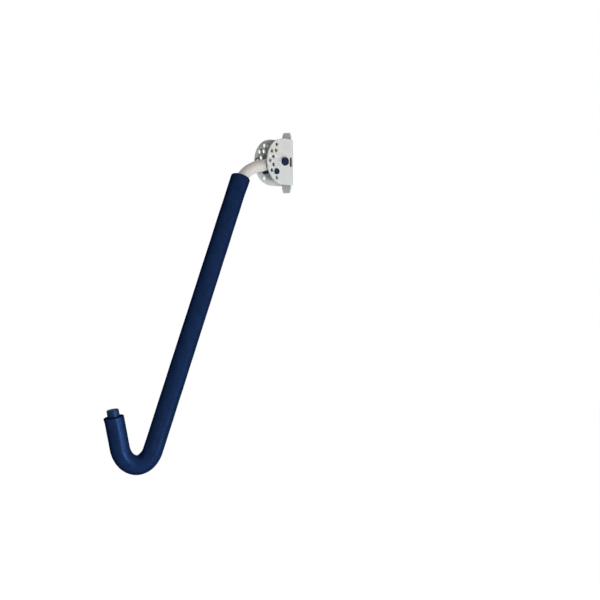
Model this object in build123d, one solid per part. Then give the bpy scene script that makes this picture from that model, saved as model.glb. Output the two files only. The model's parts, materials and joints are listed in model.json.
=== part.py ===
"""Wall rack arm: a padded J-shaped tube that swings in a folded steel wall bracket.

The arm turns on a bolt between the two cheeks of the bracket and rests on a pull-out pin.
The cheeks carry two arcs of index holes, so moving the pin changes the arm's slope.

Frame: the wall is the plane y = 0 and the room is at y < 0. X runs along the wall and is the
pivot's direction, and Z is up. The origin is on the wall face, level with the pivot.
"""
import math
import os

from build123d import *

# Folded sheet of the wall bracket
sheet = 3.0
bracket_width = 39.0
fold_radius = 2.0
pivot_from_wall = 32.5
cheek_radius = 49.0
cheek_top_corner = 8.0
cheek_bottom_corner = 3.0

# Ears that stand above and below the cheeks on the wall
ear_width = 25.0
ear_length = 15.5
ear_chamfer_width = 4.0
ear_chamfer_length = 9.0
ear_corner = 1.5

# Wall screw holes in the web, one above and one below the pivot
screw_hole_diameter = 8.5
screw_hole_spacing = 68.0

# Short upright slot through both cheeks, beside the wall
slot_width = 7.0
slot_length = 21.0
slot_from_wall = 9.5

# Index holes on two arcs about the pivot, the inner arc half a step out of line
outer_arc_from_edge = 8.5
arc_spacing = 9.0
index_step = 30.0
outer_hole_count = 5
inner_hole_count = 4

# Lock pin, pushed in from the +X side under the arm, in the lowest hole of the inner arc
pin_diameter = 8.0
pin_hole_clearance = 0.3
pin_head_diameter = 12.5
pin_head_height = 4.0
pin_head_round = 1.0
pin_head_gap = 0.2
pin_tail = 9.0
pin_point = 1.5
arm_rest_gap = 0.3

# Spring ball near the pin's tail, which keeps it from sliding out
ball_diameter = 3.0
ball_stand_out = 0.2
ball_past_cheek = 2.2
ball_bore_clearance = 0.1
spring_wire = 0.4
spring_turns = 3.5
spring_length = 3.2

# Pivot bolt, washers and lock nut
bolt_diameter = 10.0
bolt_hole_clearance = 0.25
bolt_head_across_flats = 16.0
bolt_head_height = 6.4
bolt_end_past_nut = 2.5
bolt_end_chamfer = 1.2
hex_chamfer_angle = 30.0
washer_diameter = 20.0
washer_thickness = 2.0
nut_across_flats = 16.0
nut_hex_height = 6.6
nut_collar_diameter = 14.6
nut_collar_height = 3.4
nut_collar_round = 0.8
nut_insert_diameter = 12.4
nut_insert_height = 2.4
thread_clearance = 0.05

# Sleeve across the arm, and the plastic rings that centre it between the cheeks
sleeve_diameter = 16.0
weld_gap = 0.1
running_clearance = 0.3
ring_diameter = 23.0
ring_thickness = 1.5

# Arm tube, bent once near the pivot and once more into the hook
tube_diameter = 25.0
tube_wall = 1.5
tube_past_pivot = 14.0
pivot_to_bend = 106.4
arm_bend_angle = 53.3
arm_bend_radius = 85.0
arm_straight = 588.0
hook_radius = 48.0
hook_turn = 141.7
hook_leg = 62.0

# Foam sleeve over the arm and the hook
foam_diameter = 40.0
foam_on_bend = 26.5
foam_bore_clearance = 0.1
foam_end_round = 3.0
foam_past_tube = 0.5

# Push-in cap: its head stands out beyond the foam and its shank grips the tube's bore
cap_head_step = 0.2
cap_head_length = 14.5
cap_shank_length = 18.0
cap_fit = 0.1
cap_round = 1.5
cap_lead = 1.0

# Sizes that follow from those above
half_width = bracket_width / 2
inside_width = bracket_width - 2 * sheet
ear_reach = cheek_radius + ear_length
outer_arc_radius = cheek_radius - outer_arc_from_edge
inner_arc_radius = outer_arc_radius - arc_spacing
pin_hole_diameter = pin_diameter + 2 * pin_hole_clearance
bolt_hole_diameter = bolt_diameter + 2 * bolt_hole_clearance
nut_height = nut_hex_height + nut_collar_height
nut_bore = bolt_diameter + 2 * thread_clearance
sleeve_bore = bolt_diameter + 2 * running_clearance
sleeve_length = inside_width - 2 * ring_thickness - 2 * running_clearance
foam_bore = tube_diameter + 2 * foam_bore_clearance
through = 2 * bracket_width

# The index angles are measured from straight out of the wall, upwards positive
outer_angles = [(i - (outer_hole_count - 1) / 2) * index_step for i in range(outer_hole_count)]
inner_angles = [(i - (inner_hole_count - 1) / 2) * index_step for i in range(inner_hole_count)]
pin_angle = inner_angles[0]

# The tube lies on the pin, so the pin's place sets the slope of the arm
rest_reach = (tube_diameter + pin_diameter) / 2 + arm_rest_gap
stub_slope = -pin_angle - math.degrees(math.asin(rest_reach / inner_arc_radius))
arm_slope = stub_slope + arm_bend_angle
leg_slope = arm_slope - hook_turn


def slope_direction(angle_below_level):
    """Unit direction in the arm's plane, out from the wall and down by the given angle."""
    angle = math.radians(angle_below_level)
    return Vector(0, -math.cos(angle), -math.sin(angle))


# Corner points of the arm's centre line, in the plane midway between the cheeks
pivot = Vector(0, -pivot_from_wall, 0)
stub_direction = slope_direction(stub_slope)
arm_direction = slope_direction(arm_slope)
leg_direction = slope_direction(leg_slope)
bend_tangent = arm_bend_radius * math.tan(math.radians(arm_bend_angle / 2))
hook_tangent = hook_radius * math.tan(math.radians(hook_turn / 2))
tube_start = pivot - stub_direction * tube_past_pivot
bend_corner = pivot + stub_direction * pivot_to_bend
hook_corner = bend_corner + arm_direction * (bend_tangent + arm_straight + hook_tangent)
leg_start = hook_corner + leg_direction * hook_tangent
tube_tip = leg_start + leg_direction * hook_leg
foam_start = bend_corner + arm_direction * (bend_tangent - foam_on_bend)
foam_end = tube_tip + leg_direction * foam_past_tube


def arc_point(radius, angle):
    """Place of an index hole as (y, z) in the cheek's plane."""
    turn = math.radians(angle)
    return (-pivot_from_wall - radius * math.cos(turn), radius * math.sin(turn))


pin_y, pin_z = arc_point(inner_arc_radius, pin_angle)


def along_x(shape, x, y, z):
    """Turn a shape that was made along Z to run along +X, and move its foot to the point."""
    return Pos(x, y, z) * Rot(0, 90, 0) * shape


def ring(outer, bore, height):
    """Flat ring standing on the XY plane."""
    return extrude(Circle(outer / 2) - Circle(bore / 2), amount=height)


def hex_block(across_flats, height, chamfer_top, chamfer_bottom):
    """Hexagon bar with its corners turned off at the ends that are named."""
    corner_radius = across_flats / 2 / math.cos(math.radians(30))
    chamfer_reach = corner_radius - across_flats / 2
    chamfer_drop = chamfer_reach * math.tan(math.radians(hex_chamfer_angle))
    flats = RegularPolygon(across_flats / 2, 6, major_radius=False)
    turned = extrude(Circle(corner_radius), amount=height)
    if chamfer_top:
        rim = turned.faces().sort_by(Axis.Z)[-1]
        turned = chamfer(rim.edges(), chamfer_drop, chamfer_reach, reference=rim_side(turned))
    if chamfer_bottom:
        rim = turned.faces().sort_by(Axis.Z)[0]
        turned = chamfer(rim.edges(), chamfer_drop, chamfer_reach, reference=rim_side(turned))
    return extrude(flats, amount=height) & turned


def rim_side(turned):
    """The round side face of a turned bar, from which a chamfer's drop is measured."""
    return turned.faces().filter_by(GeomType.CYLINDER)[0]


def cheek_outline():
    """D shape of a cheek in the plane of the arm, with the wall at the straight side."""
    block = Pos(-pivot_from_wall / 2, 0) * Rectangle(pivot_from_wall, 2 * cheek_radius)
    outline = block + Pos(-pivot_from_wall, 0) * Circle(cheek_radius)
    wall_corners = outline.vertices().group_by(Axis.X)[-1].sort_by(Axis.Y)
    outline = fillet(wall_corners[-1], cheek_top_corner)
    wall_corners = outline.vertices().group_by(Axis.X)[-1].sort_by(Axis.Y)
    return fillet(wall_corners[0], cheek_bottom_corner)


def ear_outline():
    """Upright strip in the wall's plane whose two ends are the ears."""
    half = ear_width / 2
    shoulder = ear_reach - ear_chamfer_length
    tip = half - ear_chamfer_width
    quarter = [(half, shoulder), (tip, ear_reach)]
    right = [(x, -z) for x, z in reversed(quarter)] + quarter
    left = [(-x, -z) for x, z in right]
    strip = make_face(Polyline(*right, *left, close=True))
    tips = strip.vertices().group_by(Axis.Y)[-1] + strip.vertices().group_by(Axis.Y)[0]
    return fillet(tips, ear_corner)


def wall_bracket():
    """One folded sheet: the web on the wall, its two ears, and a cheek at each side."""
    depth = pivot_from_wall + cheek_radius
    outside = Pos(0, -depth / 2) * Rectangle(bracket_width, depth)
    outside = fillet(outside.vertices().group_by(Axis.Y)[-1], fold_radius + sheet)
    inside = Pos(0, -depth / 2 - sheet) * Rectangle(inside_width, depth)
    inside = fillet(inside.vertices().group_by(Axis.Y)[-1], fold_radius)
    channel = extrude(outside - inside, amount=cheek_radius, both=True)
    body = channel & extrude(Plane.YZ * cheek_outline(), amount=half_width, both=True)

    # Relief notches in the web beside each ear, down to where the cheek's corner starts
    flat_half = half_width - sheet - fold_radius
    top_foot = cheek_radius - cheek_top_corner
    bottom_foot = cheek_radius - cheek_bottom_corner
    notch_top = Pos(0, 0, top_foot + ear_reach / 2) * Box(2 * flat_half, 2 * sheet, ear_reach)
    notch_bottom = Pos(0, 0, -bottom_foot - ear_reach / 2) * Box(2 * flat_half, 2 * sheet, ear_reach)
    body = body - notch_top - notch_bottom
    body = body + extrude(Plane.XZ * ear_outline(), amount=sheet)

    # Holes and slots through both cheeks
    index_places = [arc_point(outer_arc_radius, angle) for angle in outer_angles]
    index_places += [arc_point(inner_arc_radius, angle) for angle in inner_angles]
    cuts = Pos(-pivot_from_wall, 0) * Circle(bolt_hole_diameter / 2)
    for place in index_places:
        cuts = cuts + Pos(*place) * Circle(pin_hole_diameter / 2)
    cuts = cuts + Pos(-slot_from_wall, 0) * Rot(0, 0, 90) * SlotOverall(slot_length, slot_width)
    body = body - extrude(Plane.YZ * cuts, amount=half_width, both=True)

    # Screw holes through the web
    screws = Sketch()
    for z in (-screw_hole_spacing / 2, screw_hole_spacing / 2):
        screws = screws + Pos(0, z) * Circle(screw_hole_diameter / 2)
    return body - extrude(Plane.XZ * screws, amount=sheet, both=True)


def pivot_bolt():
    """Hexagon bolt through both cheeks, with its head at the +X side."""
    grip = bracket_width + 2 * washer_thickness + nut_height + bolt_end_past_nut
    shank = extrude(Circle(bolt_diameter / 2), amount=-grip)
    shank = chamfer(shank.edges().sort_by(Axis.Z)[0], bolt_end_chamfer)
    head = hex_block(bolt_head_across_flats, bolt_head_height, True, False)
    return along_x(head + shank, half_width + washer_thickness, -pivot_from_wall, 0)


def pivot_washer(side):
    """Flat washer outside one cheek: side is +1 under the head and -1 under the nut."""
    washer = ring(washer_diameter, bolt_hole_diameter, washer_thickness)
    foot = half_width if side > 0 else -half_width - washer_thickness
    return along_x(washer, foot, -pivot_from_wall, 0)


def pivot_nut():
    """Lock nut at the -X side, with a collar that holds a plastic ring."""
    body = hex_block(nut_across_flats, nut_hex_height, True, True)
    collar = extrude(Circle(nut_collar_diameter / 2), amount=-nut_collar_height)
    collar = fillet(collar.edges().sort_by(Axis.Z)[0], nut_collar_round)
    seat = extrude(Circle(nut_insert_diameter / 2), amount=-nut_insert_height)
    seat = Pos(0, 0, nut_insert_height - nut_collar_height) * seat
    nut = body + collar - seat - extrude(Circle(nut_bore / 2), amount=nut_height, both=True)
    return along_x(nut, -half_width - washer_thickness - nut_hex_height, -pivot_from_wall, 0)


def nut_insert():
    """Plastic ring in the nut's collar."""
    insert = ring(nut_insert_diameter, nut_bore, nut_insert_height)
    foot = -half_width - washer_thickness - nut_height
    return along_x(insert, foot, -pivot_from_wall, 0)


def centring_ring(side):
    """Plastic ring on the bolt between a cheek and the end of the arm's sleeve."""
    foot = inside_width / 2 - ring_thickness if side > 0 else -inside_width / 2
    return along_x(ring(ring_diameter, bolt_hole_diameter, ring_thickness), foot, -pivot_from_wall, 0)


def pivot_sleeve():
    """Sleeve welded across the arm tube, which turns on the bolt."""
    sleeve = ring(sleeve_diameter, sleeve_bore, sleeve_length)
    return along_x(sleeve, -sleeve_length / 2, -pivot_from_wall, 0)


def tube_path(tip):
    """Centre line of the arm tube, as far as the given point on the hook's leg."""
    corners = [tube_start, bend_corner, hook_corner, tip]
    return FilletPolyline(*corners, radius=[arm_bend_radius, hook_radius])


def swept(section, path):
    """Section carried along a path of straight runs and tangent arcs."""
    return sweep(Plane(origin=path @ 0, z_dir=path % 0) * section, path=path)


def arm_tube():
    """Bent steel tube, bored across for the pivot sleeve."""
    section = Circle(tube_diameter / 2) - Circle(tube_diameter / 2 - tube_wall)
    cross_hole = extrude(Circle(sleeve_diameter / 2 + weld_gap), amount=through, both=True)
    return swept(section, tube_path(tube_tip)) - along_x(cross_hole, 0, -pivot_from_wall, 0)


def foam_sleeve():
    """Thick foam sleeve: straight at its upper end, where the tube bends away inside it."""
    path = FilletPolyline(foam_start, hook_corner, foam_end, radius=hook_radius)
    sleeve = swept(Circle(foam_diameter / 2), path)
    ends = sleeve.faces().filter_by(GeomType.PLANE)
    sleeve = fillet(ends.edges(), foam_end_round)
    bore_tip = foam_end + leg_direction * foam_past_tube
    return sleeve - swept(Circle(foam_bore / 2), tube_path(bore_tip))


def end_cap():
    """Push-in cap: a head nearly as wide as the tube, and a shank inside the tube's tip."""
    head = extrude(Circle(tube_diameter / 2 - cap_head_step), amount=cap_head_length)
    head = fillet(head.faces().sort_by(Axis.Z)[-1].edges(), cap_round)
    shank = extrude(Circle(tube_diameter / 2 - tube_wall - cap_fit), amount=-cap_shank_length)
    shank = chamfer(shank.edges().sort_by(Axis.Z)[0], cap_lead)
    return Plane(origin=tube_tip, z_dir=leg_direction) * (head + shank)


def ball_place():
    """Centre of the spring ball, on the pin's underside just outside the far cheek."""
    drop = pin_diameter / 2 + ball_stand_out - ball_diameter / 2
    return Vector(-half_width - ball_past_cheek - ball_diameter / 2, pin_y, pin_z - drop)


def lock_pin():
    """Headed pin through both cheeks, with a cross bore for the ball and its spring."""
    tail = bracket_width + pin_head_gap + pin_tail
    shank = extrude(Circle(pin_diameter / 2), amount=-tail)
    shank = chamfer(shank.edges().sort_by(Axis.Z)[0], pin_point)
    head = extrude(Circle(pin_head_diameter / 2), amount=pin_head_height)
    head = fillet(head.edges().sort_by(Axis.Z)[-1], pin_head_round)
    pin = along_x(head + shank, half_width + pin_head_gap, pin_y, pin_z)
    ball = ball_place()
    bore_foot = ball.Z - pin_diameter
    bore_depth = pin_diameter + ball_diameter / 2 + spring_length
    bore = extrude(Circle(ball_diameter / 2 + ball_bore_clearance), amount=bore_depth)
    return pin - Pos(ball.X, ball.Y, bore_foot) * bore


def detent_ball():
    """Steel ball that stands a little proud of the pin's underside."""
    return Pos(ball_place()) * Sphere(ball_diameter / 2)


def detent_spring():
    """Coil that pushes the ball out of the pin."""
    coil_radius = (ball_diameter - spring_wire) / 2
    pitch = (spring_length - spring_wire) / spring_turns
    line = Helix(pitch, pitch * spring_turns, coil_radius)
    coil = sweep(Plane(origin=line @ 0, z_dir=line % 0) * Circle(spring_wire / 2), path=line)
    ball = ball_place()
    return Pos(ball.X, ball.Y, ball.Z + ball_diameter / 2 + spring_wire / 2) * coil


nodes = {
    "wall_bracket": wall_bracket(),
    "pivot_bolt": pivot_bolt(),
    "head_washer": pivot_washer(1),
    "nut_washer": pivot_washer(-1),
    "pivot_nut": pivot_nut(),
    "nut_insert": nut_insert(),
    "head_side_ring": centring_ring(1),
    "nut_side_ring": centring_ring(-1),
    "pivot_sleeve": pivot_sleeve(),
    "arm_tube": arm_tube(),
    "foam_sleeve": foam_sleeve(),
    "end_cap": end_cap(),
    "lock_pin": lock_pin(),
    "detent_ball": detent_ball(),
    "detent_spring": detent_spring(),
}

os.makedirs("parts", exist_ok=True)
for name, solid in nodes.items():
    export_step(solid, f"parts/{name}.step")
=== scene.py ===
"""Dresses the padded wall rack arm: foam skin, plated steel, dark fasteners and a plain studio."""
import json
import math
from typing import NamedTuple

import bmesh
import bpy
from bpy.props import FloatProperty, FloatVectorProperty, IntProperty, PointerProperty
from mathutils import Matrix, Vector, noise


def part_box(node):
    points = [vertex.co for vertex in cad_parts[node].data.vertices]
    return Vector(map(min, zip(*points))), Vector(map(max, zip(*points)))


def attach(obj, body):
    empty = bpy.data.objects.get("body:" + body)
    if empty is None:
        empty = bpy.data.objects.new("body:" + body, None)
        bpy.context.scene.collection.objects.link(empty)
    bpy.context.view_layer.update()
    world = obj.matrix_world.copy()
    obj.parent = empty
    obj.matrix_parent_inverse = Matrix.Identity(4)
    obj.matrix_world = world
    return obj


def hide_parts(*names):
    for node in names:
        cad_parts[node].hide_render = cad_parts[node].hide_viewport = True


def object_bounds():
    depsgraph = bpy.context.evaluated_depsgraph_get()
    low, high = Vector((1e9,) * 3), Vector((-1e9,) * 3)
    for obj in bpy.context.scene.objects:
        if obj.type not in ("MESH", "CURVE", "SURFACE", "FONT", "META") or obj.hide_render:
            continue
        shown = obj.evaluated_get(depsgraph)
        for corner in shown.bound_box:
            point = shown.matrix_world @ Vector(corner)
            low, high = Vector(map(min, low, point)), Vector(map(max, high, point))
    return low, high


bl_info = {
    "name": "Padded wall rack arm",
    "version": (1, 0, 0),
    "blender": (4, 5, 0),
    "location": "3D View > Sidebar > Wall rack",
    "description": "Dresses a padded hook arm in its wall bracket and lights it in a plain studio",
    "category": "Object",
}

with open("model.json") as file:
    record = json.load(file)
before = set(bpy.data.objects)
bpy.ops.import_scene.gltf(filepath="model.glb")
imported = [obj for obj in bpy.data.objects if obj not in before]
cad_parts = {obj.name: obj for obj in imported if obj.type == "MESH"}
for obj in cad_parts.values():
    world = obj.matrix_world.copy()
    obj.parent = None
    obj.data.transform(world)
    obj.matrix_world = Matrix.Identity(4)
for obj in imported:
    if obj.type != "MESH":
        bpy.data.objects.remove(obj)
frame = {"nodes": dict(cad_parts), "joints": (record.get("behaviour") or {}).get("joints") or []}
cad_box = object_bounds()

PIVOT = Vector(next(joint["pos_m"] for joint in frame["joints"] if joint["name"] == "arm_swing"))
PIVOT_AXIS = Vector((1.0, 0.0, 0.0))


class ArmLineSizes(bpy.types.PropertyGroup):
    """Centre line of the arm's tube, which the foam follows."""

    tube_diameter: FloatProperty(
        name="Tube", description="Outside diameter of the arm's tube", default=0.025, unit="LENGTH")
    pin_diameter: FloatProperty(
        name="Pin", description="Diameter of the lock pin's shank", default=0.008, unit="LENGTH")
    rest_gap: FloatProperty(
        name="Rest gap", description="Gap between the tube and the pin", default=0.0003, unit="LENGTH")
    pivot_to_bend: FloatProperty(
        name="Pivot to bend", description="From the pivot to the corner of the first bend",
        default=0.1064, unit="LENGTH")
    bend_angle: FloatProperty(
        name="Bend", description="Turn of the first bend", default=math.radians(53.3), subtype="ANGLE")
    bend_radius: FloatProperty(
        name="Bend radius", description="Radius of the first bend", default=0.085, unit="LENGTH")
    straight: FloatProperty(
        name="Straight", description="Straight run between the bend and the hook",
        default=0.588, unit="LENGTH")
    hook_radius: FloatProperty(
        name="Hook radius", description="Radius of the hook at the tube's centre",
        default=0.048, unit="LENGTH")
    hook_turn: FloatProperty(
        name="Hook turn", description="Turn of the hook", default=math.radians(141.7), subtype="ANGLE")
    hook_leg: FloatProperty(
        name="Hook leg", description="Straight run from the hook to the tube's tip",
        default=0.062, unit="LENGTH")


class FoamSizes(bpy.types.PropertyGroup):
    """Foam sleeve over the arm and the hook."""

    diameter: FloatProperty(
        name="Diameter", description="Outside diameter of the foam", default=0.040, unit="LENGTH")
    bore: FloatProperty(
        name="Bore", description="Bore that grips the tube", default=0.0252, unit="LENGTH")
    on_bend: FloatProperty(
        name="On the bend", description="How far the foam reaches back over the first bend",
        default=0.0265, unit="LENGTH")
    past_tube: FloatProperty(
        name="Past the tube", description="How far the foam reaches past the tube's tip",
        default=0.0005, unit="LENGTH")
    upper_round: FloatProperty(
        name="Upper round", description="Round of the rim beside the bracket",
        default=0.0032, unit="LENGTH")
    lower_round: FloatProperty(
        name="Lower round", description="Round of the rim beside the cap", default=0.0012, unit="LENGTH")
    ring_step: FloatProperty(
        name="Ring step", description="Spacing of the skin's rings on straight runs",
        default=0.004, unit="LENGTH")
    sides: IntProperty(
        name="Sides", description="Facets round the foam", default=80, min=16)
    bend_steps: IntProperty(
        name="Hook steps", description="Rings of the skin in the hook", default=150, min=12)
    crease_count: IntProperty(
        name="Creases", description="Shallow folds inside the hook, where the foam is squeezed",
        default=5, min=0)
    crease_depth: FloatProperty(
        name="Crease depth", description="Depth of those folds", default=0.0004, unit="LENGTH")
    unevenness: FloatProperty(
        name="Unevenness", description="Slow swell of the foam's skin", default=0.00022, unit="LENGTH")
    bend_bulge: FloatProperty(
        name="Bend bulge", description="How far the bending tube pushes the foam out at its upper end",
        default=0.0018, unit="LENGTH")
    bulge_length: FloatProperty(
        name="Bulge length", description="Length of that bulge", default=0.045, unit="LENGTH")
    tip_flare: FloatProperty(
        name="Tip flare", description="How far the foam's lower rim stands out on the hook's outside",
        default=0.0016, unit="LENGTH")
    flare_length: FloatProperty(
        name="Flare length", description="Length of that flare", default=0.012, unit="LENGTH")


class FinishColours(bpy.types.PropertyGroup):
    """Colours of the finishes, as linear light."""

    plate: FloatVectorProperty(
        name="Bracket plate", description="Zinc plate on the bracket",
        default=(0.665, 0.68, 0.66), subtype="COLOR", size=3, min=0.0, max=1.0)
    arm: FloatVectorProperty(
        name="Arm plate", description="Zinc plate on the tube and its sleeve",
        default=(0.70, 0.645, 0.61), subtype="COLOR", size=3, min=0.0, max=1.0)
    washer: FloatVectorProperty(
        name="Washer plate", description="Zinc plate on the washers",
        default=(0.70, 0.71, 0.70), subtype="COLOR", size=3, min=0.0, max=1.0)
    dark_steel: FloatVectorProperty(
        name="Dark steel", description="Blackened steel of the bolt, nut and pin",
        default=(0.010, 0.0135, 0.050), subtype="COLOR", size=3, min=0.0, max=1.0)
    bright_steel: FloatVectorProperty(
        name="Bright steel", description="Bare steel of the ball and spring",
        default=(0.55, 0.55, 0.56), subtype="COLOR", size=3, min=0.0, max=1.0)
    nylon: FloatVectorProperty(
        name="Nylon", description="Plastic of the rings and the nut's insert",
        default=(0.72, 0.72, 0.66), subtype="COLOR", size=3, min=0.0, max=1.0)
    foam: FloatVectorProperty(
        name="Foam", description="Navy skin of the foam",
        default=(0.0086, 0.0222, 0.070), subtype="COLOR", size=3, min=0.0, max=1.0)
    foam_cut: FloatVectorProperty(
        name="Cut foam", description="Open cells at the foam's cut ends",
        default=(0.015, 0.032, 0.088), subtype="COLOR", size=3, min=0.0, max=1.0)
    cap: FloatVectorProperty(
        name="Cap", description="Moulded plastic of the end cap",
        default=(0.0115, 0.028, 0.068), subtype="COLOR", size=3, min=0.0, max=1.0)


class StudioSettings(bpy.types.PropertyGroup):
    """Camera, lamps and floor."""

    azimuth: FloatProperty(
        name="Azimuth", description="Turn of the camera round the object",
        default=math.radians(42.68), subtype="ANGLE")
    elevation: FloatProperty(
        name="Elevation", description="Height of the camera above the level",
        default=math.radians(-1.6), subtype="ANGLE")
    distance: FloatProperty(
        name="Distance", description="From the camera to the pivot, along the view",
        default=4.5, unit="LENGTH")
    aim_right: FloatProperty(
        name="Aim right", description="How far the view's middle lies right of the pivot",
        default=0.0493, unit="LENGTH")
    aim_down: FloatProperty(
        name="Aim down", description="How far the view's middle lies below the pivot",
        default=0.2934, unit="LENGTH")
    lens: FloatProperty(
        name="Lens", description="Focal length on a 36 mm sensor, in millimetres", default=126.9)
    side_power: FloatProperty(
        name="Side", description="Power of the big lamp beside the object", default=12.0, subtype="POWER")
    front_power: FloatProperty(
        name="Front", description="Power of the low lamp between the side and the camera",
        default=30.0, subtype="POWER")
    low_power: FloatProperty(
        name="Low", description="Power of the near lamp below the object's side",
        default=10.0, subtype="POWER")
    fill_power: FloatProperty(
        name="Fill", description="Power of the big weak lamp beside the camera",
        default=8.0, subtype="POWER")
    top_power: FloatProperty(
        name="Top", description="Power of the overhead lamp", default=2.5, subtype="POWER")
    back_power: FloatProperty(
        name="Back", description="Power of the lamp behind the object", default=16.0, subtype="POWER")
    room_light: FloatProperty(
        name="Room", description="Level of the even light from all round", default=0.04, min=0.0)
    floor_drop: FloatProperty(
        name="Floor", description="How far the floor lies below the hook", default=0.55, unit="LENGTH")


def slope_direction(angle):
    """Unit direction out from the wall and down by the given angle."""
    return Vector((0.0, -math.cos(angle), -math.sin(angle)))


class ArmLine:
    """Points and directions of the tube's centre line, worked out from the frame's pivot and pin."""

    def __init__(self, sizes, foam):
        low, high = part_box("lock_pin")
        to_pin = (low + high) / 2 - PIVOT
        to_pin.x = 0.0
        pin_slope = math.atan2(-to_pin.z, -to_pin.y)
        rest_reach = (sizes.tube_diameter + sizes.pin_diameter) / 2 + sizes.rest_gap
        stub_slope = pin_slope - math.asin(rest_reach / to_pin.length)
        arm_slope = stub_slope + sizes.bend_angle
        self.arm = slope_direction(arm_slope)
        self.leg = slope_direction(arm_slope - sizes.hook_turn)

        bend_tangent = sizes.bend_radius * math.tan(sizes.bend_angle / 2)
        corner = PIVOT + slope_direction(stub_slope) * sizes.pivot_to_bend
        self.bend_end = corner + self.arm * bend_tangent
        self.bend_centre = self.bend_end - self.arm.cross(PIVOT_AXIS) * sizes.bend_radius
        self.hook_start = self.bend_end + self.arm * sizes.straight
        self.hook_centre = self.hook_start + self.arm.cross(PIVOT_AXIS) * sizes.hook_radius
        self.leg_start = self.hook_centre - self.leg.cross(PIVOT_AXIS) * sizes.hook_radius
        self.foam_start = self.bend_end - self.arm * foam.on_bend
        self.foam_end = self.leg_start + self.leg * (sizes.hook_leg + foam.past_tube)


def square_to(point, direction):
    """Matrix whose Z runs along the direction and whose X is the pivot's, placed at the point."""
    side = direction.cross(PIVOT_AXIS)
    turn = Matrix((PIVOT_AXIS, side, direction)).transposed()
    return Matrix.Translation(point) @ turn.to_4x4()


def circle_at(bm, point, direction, radius, sides):
    """Loop of edges round a point, square to a direction."""
    place = square_to(point, direction)
    made = bmesh.ops.create_circle(bm, cap_ends=False, segments=sides, radius=radius, matrix=place)
    return list({edge for vert in made["verts"] for edge in vert.link_edges})


def loop_verts(loop):
    """Vertices of a loop of edges."""
    return list({vert for edge in loop for vert in edge.verts})


def grow_loop(bm, loop, move, centre=None, scale=1.0):
    """Extrude a loop once, move the new loop and scale it about a point."""
    made = bmesh.ops.extrude_edge_only(bm, edges=loop)["geom"]
    verts = [item for item in made if isinstance(item, bmesh.types.BMVert)]
    fresh = set(verts)
    bmesh.ops.translate(bm, vec=move, verts=verts)
    if centre is not None:
        about = Matrix.Translation(-centre)
        bmesh.ops.scale(bm, vec=(scale, scale, scale), space=about, verts=verts)
    edges = [item for item in made if isinstance(item, bmesh.types.BMEdge)]
    return [edge for edge in edges if fresh.issuperset(edge.verts)]


def run_straight(bm, loop, direction, length, steps):
    """Carry a loop along a straight run."""
    for _ in range(steps):
        loop = grow_loop(bm, loop, direction * (length / steps))
    return loop


def run_round(bm, loop, centre, axis, turn, steps):
    """Carry a loop along a bend."""
    made = bmesh.ops.spin(bm, geom=loop + loop_verts(loop), cent=centre, axis=axis, angle=turn,
                          steps=steps, use_merge=False, use_duplicate=False)
    return [item for item in made["geom_last"] if isinstance(item, bmesh.types.BMEdge)]


def rim_steps(radius, rim, steps):
    """Radius and depth of each ring of a rounded rim, from the end face to the side."""
    for step in range(steps + 1):
        angle = math.pi / 2 * step / steps
        yield radius - rim * (1 - math.sin(angle)), rim * (1 - math.cos(angle))


def round_rim(bm, loop, point, direction, rings):
    """Carry a loop over a rounded rim; rings gives each ring's radius and depth in order."""
    for (radius, depth), (next_radius, next_depth) in zip(rings, rings[1:]):
        move = direction * (next_depth - depth)
        centre = point + direction * next_depth
        loop = grow_loop(bm, loop, move, centre, next_radius / radius)
    return loop


RIM_STEPS = 7
SHARP_ANGLE = math.radians(40.0)
CUT_SLOT = 1


def foam_skin(bm, line, sizes, foam):
    """Outer skin of the foam, from the rim beside the bracket to the rim beside the cap."""
    radius = foam.diameter / 2
    upper = list(rim_steps(radius, foam.upper_round, RIM_STEPS))
    lower = list(rim_steps(radius, foam.lower_round, RIM_STEPS))
    end_radius, _ = upper[0]
    loop = circle_at(bm, line.foam_start, line.arm, end_radius, foam.sides)
    loop = round_rim(bm, loop, line.foam_start, line.arm, upper)
    arm_run = foam.on_bend + sizes.straight - foam.upper_round
    loop = run_straight(bm, loop, line.arm, arm_run, round(arm_run / foam.ring_step))
    loop = run_round(bm, loop, line.hook_centre, -PIVOT_AXIS, sizes.hook_turn, foam.bend_steps)
    leg_run = sizes.hook_leg + foam.past_tube - foam.lower_round
    loop = run_straight(bm, loop, line.leg, leg_run, round(leg_run / foam.ring_step))
    closing = [(ring_radius, foam.lower_round - depth) for ring_radius, depth in reversed(lower)]
    rim_foot = line.foam_end - line.leg * foam.lower_round
    round_rim(bm, loop, rim_foot, line.leg, closing)


SWELL_FREQUENCY = 28.0
FOLD_FADE = 0.5
FOLD_FOCUS = 1.5


def uneven(fold, middle, sway, beat):
    """A measure of the folds that sways about its middle from one fold to the next."""
    return middle + sway * math.sin(beat * fold)


def crease_wave(share, count):
    """Depth from 0 to 1 of the folds at a share of the hook's turn; they are uneven and fade out."""
    depth = 0.0
    for fold in range(count):
        place = (fold + uneven(fold, middle=0.5, sway=0.22, beat=2.4)) / count
        width = uneven(fold, middle=0.34, sway=0.06, beat=1.7) / count
        weight = uneven(fold, middle=0.75, sway=0.25, beat=3.1)
        depth += weight * math.exp(-((share - place) / width) ** 2)
    return depth * math.sin(math.pi * share) ** FOLD_FADE


def fading(distance, length):
    """1 at an end of the foam, and smoothly 0 from a length away."""
    share = min(1.0, max(0.0, 1.0 - distance / length))
    return share * share * (3.0 - 2.0 * share)


def push_side(vert, end, inward, outward, length, amount, near):
    """Push one side of the skin out beside an end of the foam, most of all at the rim."""
    offset = vert.co - end
    along = offset.dot(inward)
    if along < length and offset.length < near:
        facing = (offset - inward * along).normalized().dot(outward)
        vert.co += outward * amount * fading(along, length) * max(0.0, facing)


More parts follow.
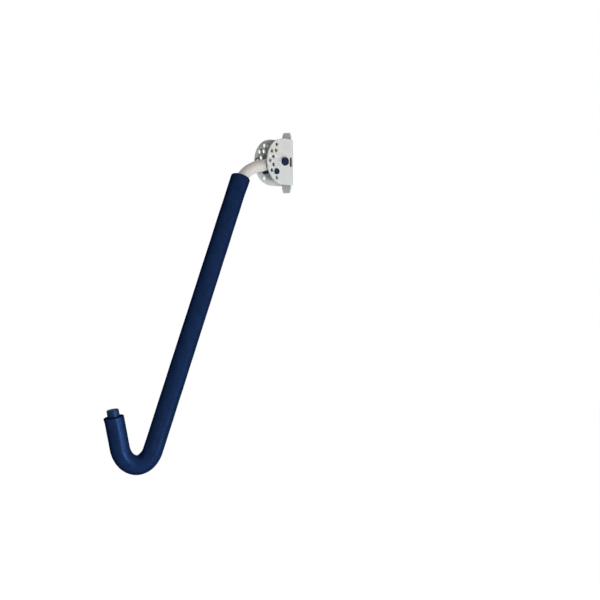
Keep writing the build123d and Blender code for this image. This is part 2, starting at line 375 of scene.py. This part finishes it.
def press_folds(vert, line, outward, sizes, foam):
    """Press the shallow folds into the inside of the hook."""
    spoke = vert.co - line.hook_centre
    turned = math.atan2(spoke.dot(line.arm), spoke.dot(outward))
    if 0.0 < turned < sizes.hook_turn:
        radial = outward * math.cos(turned) + line.arm * math.sin(turned)
        from_tube = (spoke - radial * sizes.hook_radius).normalized()
        inside = max(0.0, -from_tube.dot(radial))
        fold = crease_wave(turned / sizes.hook_turn, foam.crease_count)
        vert.co -= from_tube * foam.crease_depth * fold * inside ** FOLD_FOCUS


def shape_skin(verts, line, sizes, foam):
    """Give the skin its two pushed-out rims, its folds inside the hook and its slow swell."""
    arm_outward = -line.arm.cross(PIVOT_AXIS)
    leg_outward = -line.leg.cross(PIVOT_AXIS)
    for vert in verts:
        push_side(vert, line.foam_start, line.arm, arm_outward,
                  foam.bulge_length, foam.bend_bulge, near=2 * foam.bulge_length)
        push_side(vert, line.foam_end, -line.leg, leg_outward,
                  foam.flare_length, foam.tip_flare, near=foam.diameter)
        press_folds(vert, line, arm_outward, sizes, foam)
        vert.co += vert.normal * foam.unevenness * noise.noise(vert.co * SWELL_FREQUENCY)


BORE_BEND_STEPS = 10
BORE_ARM_STEPS = 24
BORE_LEG_STEPS = 4
CUT_TOLERANCE = 1e-7


def foam_bore(bm, line, sizes, foam):
    """Bore of the foam, which follows the tube back round the first bend and on through the hook."""
    radius = foam.bore / 2
    start = circle_at(bm, line.bend_end, line.arm, radius, foam.sides)
    back_turn = math.asin((foam.on_bend + radius) / sizes.bend_radius)
    run_round(bm, start, line.bend_centre, -PIVOT_AXIS, back_turn, BORE_BEND_STEPS)
    whole = bm.verts[:] + bm.edges[:] + bm.faces[:]
    bmesh.ops.bisect_plane(bm, geom=whole, plane_co=line.foam_start, plane_no=line.arm,
                           clear_inner=True, dist=CUT_TOLERANCE)
    loop = run_straight(bm, start, line.arm, sizes.straight, BORE_ARM_STEPS)
    loop = run_round(bm, loop, line.hook_centre, -PIVOT_AXIS, sizes.hook_turn, foam.bend_steps // 2)
    run_straight(bm, loop, line.leg, sizes.hook_leg + foam.past_tube, BORE_LEG_STEPS)


def close_end(bm, middle, facing, reach):
    """Fill the ring between the skin and the bore at one end, with a sharp edge round the bore."""
    rims = [edge for edge in bm.edges if edge.is_boundary and (edge.verts[0].co - middle).length < reach]
    made = bmesh.ops.triangle_fill(bm, use_beauty=True, use_dissolve=False, edges=rims, normal=facing)
    for item in made["geom"]:
        if isinstance(item, bmesh.types.BMFace):
            item.material_index = CUT_SLOT
    for edge in rims:
        edge.smooth = edge.calc_face_angle(0.0) < SHARP_ANGLE


def piece_from(bm, name):
    """Finished object of a bmesh, smooth shaded and placed at the origin."""
    for face in bm.faces:
        face.smooth = True
    mesh = bpy.data.meshes.new(name)
    bm.to_mesh(mesh)
    bm.free()
    piece = bpy.data.objects.new(name, mesh)
    bpy.context.scene.collection.objects.link(piece)
    return piece


class NodeFinish:
    """A node material that is put together a node at a time."""

    def __init__(self, name):
        self.material = bpy.data.materials.new(name)
        self.material.use_nodes = True
        self.tree = self.material.node_tree
        self.tree.nodes.clear()
        self.shader = self.tree.nodes.new("ShaderNodeBsdfPrincipled")
        output = self.tree.nodes.new("ShaderNodeOutputMaterial")
        self.tree.links.new(self.shader.outputs["BSDF"], output.inputs["Surface"])
        self.place = self.tree.nodes.new("ShaderNodeTexCoord").outputs["Object"]

    def give(self, socket, value):
        """Set a socket to a value, or link an output to it."""
        if isinstance(value, bpy.types.NodeSocket):
            self.tree.links.new(value, socket)
        else:
            socket.default_value = value

    def node(self, kind, output, settings=None, **inputs):
        """Add a node and return one of its outputs; an input is named with _ for a space."""
        made = self.tree.nodes.new(kind)
        for name, value in (settings or {}).items():
            setattr(made, name, value)
        for name, value in inputs.items():
            self.give(made.inputs[name.replace("_", " ")], value)
        return made.outputs[output]

    def surface(self, **inputs):
        """Set the shader's own sockets; a name has _ for a space."""
        for name, value in inputs.items():
            self.give(self.shader.inputs[name.replace("_", " ")], value)

    def stretched(self, scale):
        """Object coordinates stretched by a scale for each axis."""
        return self.node("ShaderNodeMapping", "Vector", Vector=self.place, Scale=scale)

    def noise(self, scale, detail=3.0, vector=None):
        """Noise from 0 to 1."""
        return self.node("ShaderNodeTexNoise", "Fac", Vector=vector or self.place,
                         Scale=scale, Detail=detail, Roughness=0.55)

    def cells(self, scale):
        """Distance to the middle of round cells."""
        return self.node("ShaderNodeTexVoronoi", "Distance", Vector=self.place, Scale=scale)

    def openness(self, reach):
        """1 on open faces, falling to 0 where other faces crowd in within a reach."""
        return self.node("ShaderNodeAmbientOcclusion", "AO", {"samples": 8}, Distance=reach)

    def spread(self, value, low=0.0, high=1.0, start=0.3, end=0.7):
        """Spread the part of a noise between start and end over a range of numbers."""
        return self.node("ShaderNodeMapRange", "Result", Value=value, From_Min=start, From_Max=end,
                         To_Min=low, To_Max=high)

    def blend(self, share, low, high):
        """Blend of two colours."""
        made = self.tree.nodes.new("ShaderNodeMix")
        made.data_type = "RGBA"
        self.give(made.inputs["Factor"], share)
        for socket, colour in zip([s for s in made.inputs if s.type == "RGBA"], (low, high)):
            self.give(socket, colour)
        return next(s for s in made.outputs if s.type == "RGBA")

    def bump(self, height, strength, depth, under=None):
        """Bump from a height; under is a bump below it."""
        made = self.node("ShaderNodeBump", "Normal", Height=height, Strength=strength, Distance=depth)
        if under is not None:
            self.give(made.node.inputs["Normal"], under)
        return made


def shade(colour, factor):
    """Colour with all channels scaled, as a socket value."""
    return (*[min(1.0, channel * factor) for channel in colour], 1.0)


def tint(colour, change):
    """Colour with each channel scaled by its own factor, as a socket value."""
    return (*[min(1.0, channel * factor) for channel, factor in zip(colour, change)], 1.0)


COOL = (0.94, 1.01, 1.02)
WARM = (1.03, 0.98, 0.96)
CLOUD_SHADE = 0.96
# Painted shade: share of the plate's colour left in deep corners and between close parts.
PAINTED_CORNER_SHADE = 0.22


def zinc_plate(name, colour, grain, roughness):
    """Dull zinc plate: faintly cloudy and tinted, rolled along one axis, with painted shade darkening its
    colour in deep corners.
    """
    finish = NodeFinish(name)
    cloudy = shade(colour, CLOUD_SHADE)
    cloud = finish.spread(finish.noise(45.0, detail=5.0))
    hue = finish.spread(finish.noise(18.0, detail=2.0))
    tinted = finish.blend(hue, tint(colour, COOL), tint(colour, WARM))
    dulled = finish.blend(hue, tint(cloudy, COOL), tint(cloudy, WARM))
    # Painted shade: the colour darkens where other faces crowd in within 8 cm, as inside the bracket's
    # channel.
    out_of_painted_shade = finish.spread(finish.openness(reach=0.08), start=0.14, end=0.36)
    marks = finish.noise(1.0, detail=4.0, vector=finish.stretched(grain))
    wear = finish.noise(120.0, detail=4.0)
    finish.surface(
        Base_Color=finish.blend(out_of_painted_shade, shade(colour, PAINTED_CORNER_SHADE), finish.blend(cloud, dulled, tinted)),
        Metallic=0.25,
        Roughness=finish.spread(wear, low=roughness - 0.04, high=roughness + 0.05),
        Normal=finish.bump(marks, strength=0.15, depth=0.00008),
    )
    return finish.material


def blackened_steel(name, colour):
    """Blackened steel with a low oily sheen, rubbed a little lighter in patches."""
    finish = NodeFinish(name)
    rub = finish.spread(finish.noise(260.0, detail=5.0), start=0.45, end=0.8)
    finish.surface(
        Base_Color=finish.blend(rub, shade(colour, 0.8), shade(colour, 2.2)),
        Metallic=0.15,
        Roughness=finish.spread(finish.noise(420.0, detail=4.0), low=0.34, high=0.48),
        Specular_IOR_Level=0.09,
        Normal=finish.bump(finish.noise(1800.0), strength=0.2, depth=0.00005),
    )
    return finish.material


def bare_steel(name, colour):
    """Bright bare steel with fine drawn lines."""
    finish = NodeFinish(name)
    lines = finish.noise(1.0, vector=finish.stretched((900.0, 2400.0, 2400.0)))
    finish.surface(
        Base_Color=finish.blend(lines, shade(colour, 0.85), shade(colour, 1.1)),
        Metallic=1.0,
        Roughness=finish.spread(finish.noise(700.0), low=0.22, high=0.36),
        Normal=finish.bump(lines, strength=0.1, depth=0.00003),
    )
    return finish.material


def natural_nylon(name, colour):
    """Milky nylon with a little light inside it."""
    finish = NodeFinish(name)
    finish.surface(
        Base_Color=finish.blend(finish.noise(140.0), shade(colour, 0.92), shade(colour, 1.06)),
        Roughness=finish.spread(finish.noise(600.0), low=0.42, high=0.58),
        Subsurface_Weight=0.15,
        Subsurface_Radius=(0.001, 0.001, 0.0008),
        Normal=finish.bump(finish.noise(1500.0), strength=0.15, depth=0.00004),
    )
    return finish.material


def foam_finish(name, colour):
    """Skin of closed-cell foam: mottled, finely pitted with painted shade in each pit, and part metallic
    for a sheen in its own blue.
    """
    finish = NodeFinish(name)
    mottle = finish.spread(finish.noise(70.0, detail=5.0))
    pores = finish.cells(900.0)
    # Painted shade: the colour darkens to 0.7 at the bottom of each pore.
    painted_pit_shade = finish.spread(pores, start=0.05, end=0.35)
    base = finish.blend(mottle, shade(colour, 0.84), shade(colour, 1.14))
    grain = finish.bump(finish.noise(1500.0, detail=4.0), strength=0.16, depth=0.0001)
    finish.surface(
        Base_Color=finish.blend(painted_pit_shade, shade(colour, 0.7), base),
        Roughness=finish.spread(finish.noise(160.0, detail=4.0), low=0.24, high=0.30),
        Metallic=0.36,
        Specular_IOR_Level=0.0,
        Specular_Tint=(0.2, 0.25, 0.3, 1.0),
        Normal=finish.bump(pores, strength=0.12, depth=0.0001, under=grain),
    )
    return finish.material


def cut_foam_finish(name, colour):
    """Cut end of the foam, with its cells open and painted shade darkening the hollow of each cell."""
    finish = NodeFinish(name)
    cells = finish.cells(1100.0)
    # Painted shade: the colour darkens in the hollow of each open cell and lightens towards each cell's
    # rim.
    out_of_cell_shade = finish.spread(cells, start=0.1, end=0.6)
    fuzz = finish.bump(finish.noise(3000.0), strength=0.4, depth=0.0001)
    finish.surface(
        Base_Color=finish.blend(out_of_cell_shade, shade(colour, 0.6), shade(colour, 1.2)),
        Roughness=0.95,
        Specular_IOR_Level=0.0,
        Normal=finish.bump(cells, strength=0.8, depth=0.0003, under=fuzz),
    )
    return finish.material


def moulded_cap(name, colour):
    """Soft moulded plastic with a fine spark texture, part metallic for a sheen in its own colour."""
    finish = NodeFinish(name)
    finish.surface(
        Base_Color=finish.blend(finish.noise(180.0, detail=4.0), shade(colour, 0.85), shade(colour, 1.2)),
        Roughness=finish.spread(finish.noise(500.0), low=0.34, high=0.44),
        Metallic=0.4,
        Specular_IOR_Level=0.0,
        Specular_Tint=(0.5, 0.6, 0.7, 1.0),
        Normal=finish.bump(finish.noise(2200.0), strength=0.3, depth=0.00006),
    )
    return finish.material


def dress(material, *nodes):
    """Put a finish on CAD nodes."""
    for node in nodes:
        slots = frame["nodes"][node].data.materials
        slots.clear()
        slots.append(material)


class RACK_OT_foam_sleeve(bpy.types.Operator):
    """Model the foam sleeve over the arm and the hook"""

    bl_idname = "rack.foam_sleeve"
    bl_label = "Foam sleeve"

    def execute(self, context):
        sizes = context.scene.rack_line
        foam = context.scene.rack_foam
        colours = context.scene.rack_colours
        line = ArmLine(sizes, foam)

        # The bore is cut in a bmesh of its own, so that the cut leaves the skin alone.
        inside = bmesh.new()
        foam_bore(inside, line, sizes, foam)
        bore_mesh = bpy.data.meshes.new("foam_bore")
        inside.to_mesh(bore_mesh)
        inside.free()

        bm = bmesh.new()
        foam_skin(bm, line, sizes, foam)
        bmesh.ops.recalc_face_normals(bm, faces=bm.faces[:])
        bm.normal_update()
        shape_skin(bm.verts[:], line, sizes, foam)
        bm.from_mesh(bore_mesh)
        bpy.data.meshes.remove(bore_mesh)
        close_end(bm, line.foam_start, -line.arm, foam.diameter)
        close_end(bm, line.foam_end, line.leg, foam.diameter)
        bmesh.ops.recalc_face_normals(bm, faces=bm.faces[:])

        piece = piece_from(bm, "foam_skin")
        piece.data.materials.append(foam_finish("navy_foam_skin", colours.foam))
        piece.data.materials.append(cut_foam_finish("navy_foam_cut", colours.foam_cut))
        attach(piece, "arm")
        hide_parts("foam_sleeve")
        return {"FINISHED"}


class RACK_OT_plated_steel(bpy.types.Operator):
    """Put zinc plate on the bracket, the washers and the arm's tube"""

    bl_idname = "rack.plated_steel"
    bl_label = "Plated steel"

    def execute(self, context):
        colours = context.scene.rack_colours
        rolled = (500.0, 60.0, 500.0)
        drawn = (420.0, 45.0, 45.0)
        turned = (40.0, 700.0, 700.0)
        dress(zinc_plate("bracket_zinc", colours.plate, rolled, roughness=0.40), "wall_bracket")
        dress(zinc_plate("arm_zinc", colours.arm, drawn, roughness=0.40), "arm_tube", "pivot_sleeve")
        washer_zinc = zinc_plate("washer_zinc", colours.washer, turned, roughness=0.36)
        dress(washer_zinc, "head_washer", "nut_washer")
        return {"FINISHED"}


class RACK_OT_fasteners(bpy.types.Operator):
    """Put dark steel on the bolt, nut and pin, and bright steel on the ball and spring"""

    bl_idname = "rack.fasteners"
    bl_label = "Fasteners"

    def execute(self, context):
        colours = context.scene.rack_colours
        dress(blackened_steel("dark_steel", colours.dark_steel), "pivot_bolt", "pivot_nut", "lock_pin")
        dress(bare_steel("bright_steel", colours.bright_steel), "detent_ball", "detent_spring")
        return {"FINISHED"}


class RACK_OT_plastics(bpy.types.Operator):
    """Put nylon on the rings and moulded plastic on the end cap"""

    bl_idname = "rack.plastics"
    bl_label = "Plastics"

    def execute(self, context):
        colours = context.scene.rack_colours
        dress(natural_nylon("ring_nylon", colours.nylon), "nut_insert", "head_side_ring", "nut_side_ring")
        dress(moulded_cap("cap_plastic", colours.cap), "end_cap")
        return {"FINISHED"}


class LampPlace(NamedTuple):
    """Where a lamp stands round the object, in degrees and metres, and how large its face is."""

    turn: float
    rise: float
    distance: float
    width: float
    height: float


LAMP_DISTANCE = 2.6
NEAR_DISTANCE = 1.5
LAMPS = {
    "side": LampPlace(turn=106.0, rise=-9.0, distance=LAMP_DISTANCE, width=1.2, height=0.7),
    "front": LampPlace(turn=78.0, rise=-12.0, distance=LAMP_DISTANCE, width=0.6, height=0.2),
    "low": LampPlace(turn=85.0, rise=-35.0, distance=NEAR_DISTANCE, width=0.6, height=0.3),
    "fill": LampPlace(turn=46.0, rise=5.0, distance=LAMP_DISTANCE, width=1.6, height=1.6),
    "top": LampPlace(turn=20.0, rise=62.0, distance=LAMP_DISTANCE, width=1.6, height=1.6),
    "back": LampPlace(turn=-140.0, rise=15.0, distance=LAMP_DISTANCE, width=1.2, height=1.2),
}
FLOOR_REACH = 30.0
FLOOR_WHITE = 0.97
BACKGROUND_WHITE = 1.0
WHITE = (1.0, 1.0, 1.0)
SENSOR_WIDTH = 36.0


def seen_ray(tree):
    """1 for rays that see the background itself: from the camera, or by way of gloss or glass."""
    path = tree.nodes.new("ShaderNodeLightPath")
    seen = path.outputs["Is Camera Ray"]
    for name in ("Is Glossy Ray", "Is Transmission Ray"):
        either = tree.nodes.new("ShaderNodeMath")
        either.operation = "MAXIMUM"
        tree.links.new(seen, either.inputs[0])
        tree.links.new(path.outputs[name], either.inputs[1])
        seen = either.outputs["Value"]
    return seen


def studio_floor(height):
    """Plain pale floor, seen as near white with the object's shadow on it."""
    bm = bmesh.new()
    place = Matrix.Translation((0.0, 0.0, height))
    bmesh.ops.create_grid(bm, x_segments=1, y_segments=1, size=FLOOR_REACH, matrix=place)
    floor = piece_from(bm, "studio_floor")
    finish = NodeFinish("pale_floor")
    tree = finish.tree
    finish.surface(
        Base_Color=finish.blend(finish.noise(3.0), shade(WHITE, 0.78), shade(WHITE, 0.8)),
        Roughness=0.9,
        Specular_IOR_Level=0.0,
    )
    glow = tree.nodes.new("ShaderNodeEmission")
    glow.inputs["Strength"].default_value = FLOOR_WHITE
    both = tree.nodes.new("ShaderNodeAddShader")
    pick = tree.nodes.new("ShaderNodeMixShader")
    output = next(node for node in tree.nodes if node.type == "OUTPUT_MATERIAL")
    tree.links.new(finish.shader.outputs["BSDF"], both.inputs[0])
    tree.links.new(glow.outputs["Emission"], both.inputs[1])
    tree.links.new(seen_ray(tree), pick.inputs["Fac"])
    tree.links.new(finish.shader.outputs["BSDF"], pick.inputs[1])
    tree.links.new(both.outputs["Shader"], pick.inputs[2])
    tree.links.new(pick.outputs["Shader"], output.inputs["Surface"])
    floor.data.materials.append(finish.material)


def even_background(tree, strength):
    """White light of one strength from all round, as a shader output."""
    background = tree.nodes.new("ShaderNodeBackground")
    background.inputs["Color"].default_value = (*WHITE, 1.0)
    background.inputs["Strength"].default_value = strength
    return background.outputs["Background"]


def studio_world(room_light):
    """White backdrop to the eye, and a low even light on the object."""
    world = bpy.data.worlds.new("studio_room")
    bpy.context.scene.world = world
    world.use_nodes = True
    tree = world.node_tree
    tree.nodes.clear()
    pick = tree.nodes.new("ShaderNodeMixShader")
    output = tree.nodes.new("ShaderNodeOutputWorld")
    tree.links.new(seen_ray(tree), pick.inputs["Fac"])
    tree.links.new(even_background(tree, room_light), pick.inputs[1])
    tree.links.new(even_background(tree, BACKGROUND_WHITE), pick.inputs[2])
    tree.links.new(pick.outputs["Shader"], output.inputs["Surface"])


def around(azimuth, elevation):
    """Unit direction from the object towards a place round it; azimuth 0 is out from the wall."""
    level = math.cos(elevation)
    return Vector((math.sin(azimuth) * level, -math.cos(azimuth) * level, math.sin(elevation)))


def soft_lamp(name, target, place, power):
    """Rectangular lamp that faces a point."""
    lamp = bpy.data.lights.new(name, "AREA")
    lamp.shape = "RECTANGLE"
    lamp.size = place.width
    lamp.size_y = place.height
    lamp.energy = power
    direction = around(math.radians(place.turn), math.radians(place.rise))
    holder = bpy.data.objects.new(name, lamp)
    bpy.context.scene.collection.objects.link(holder)
    holder.location = target + direction * place.distance
    holder.rotation_euler = (-direction).to_track_quat("-Z", "Y").to_euler()
    holder.visible_camera = False


class RACK_OT_studio(bpy.types.Operator):
    """Set up the floor, the lamps, the white room and the camera"""

    bl_idname = "rack.studio"
    bl_label = "Studio"

    def execute(self, context):
        studio = context.scene.rack_studio
        low, high = cad_box
        middle = (low + high) / 2
        studio_floor(low.z - studio.floor_drop)
        studio_world(studio.room_light)
        for name, place in LAMPS.items():
            soft_lamp(f"{name}_lamp", middle, place, getattr(studio, f"{name}_power"))

        back = around(studio.azimuth, studio.elevation)
        right = Vector((math.cos(studio.azimuth), math.sin(studio.azimuth), 0.0))
        up = back.cross(right)
        lens = bpy.data.cameras.new("photo_camera")
        lens.sensor_width = SENSOR_WIDTH
        lens.lens = studio.lens
        camera = bpy.data.objects.new("photo_camera", lens)
        context.scene.collection.objects.link(camera)
        place = PIVOT + right * studio.aim_right - up * studio.aim_down + back * studio.distance
        turn = Matrix((right, up, back)).transposed()
        camera.matrix_world = Matrix.Translation(place) @ turn.to_4x4()
        context.scene.camera = camera
        context.scene.view_settings.view_transform = "Standard"
        return {"FINISHED"}


class RACK_PT_sidebar(bpy.types.Panel):
    """Sizes, colours and steps of the wall rack arm"""

    bl_idname = "RACK_PT_sidebar"
    bl_label = "Wall rack"
    bl_space_type = "VIEW_3D"
    bl_region_type = "UI"
    bl_category = "Wall rack"

    def draw(self, context):
        layout = self.layout
        for step in STEPS:
            layout.operator(step.bl_idname)
        for group_name, group in GROUPS.items():
            column = layout.column(align=True)
            column.label(text=group.__doc__)
            for name in group.__annotations__:
                column.prop(getattr(context.scene, group_name), name)


GROUPS = {
    "rack_line": ArmLineSizes,
    "rack_foam": FoamSizes,
    "rack_colours": FinishColours,
    "rack_studio": StudioSettings,
}
STEPS = (
    RACK_OT_foam_sleeve,
    RACK_OT_plated_steel,
    RACK_OT_fasteners,
    RACK_OT_plastics,
    RACK_OT_studio,
)
CLASSES = (*GROUPS.values(), *STEPS, RACK_PT_sidebar)


def register():
    """Make the classes and the scene's settings known to Blender."""
    for item in CLASSES:
        bpy.utils.register_class(item)
    for name, group in GROUPS.items():
        setattr(bpy.types.Scene, name, PointerProperty(type=group))


def unregister():
    """Take back what register did."""
    for name in GROUPS:
        delattr(bpy.types.Scene, name)
    for item in reversed(CLASSES):
        bpy.utils.unregister_class(item)


def main():
    """Dress the frame step by step."""
    register()
    bpy.ops.rack.foam_sleeve()
    bpy.ops.rack.plated_steel()
    bpy.ops.rack.fasteners()
    bpy.ops.rack.plastics()
    bpy.ops.rack.studio()


if __name__ == "__main__":
    main()
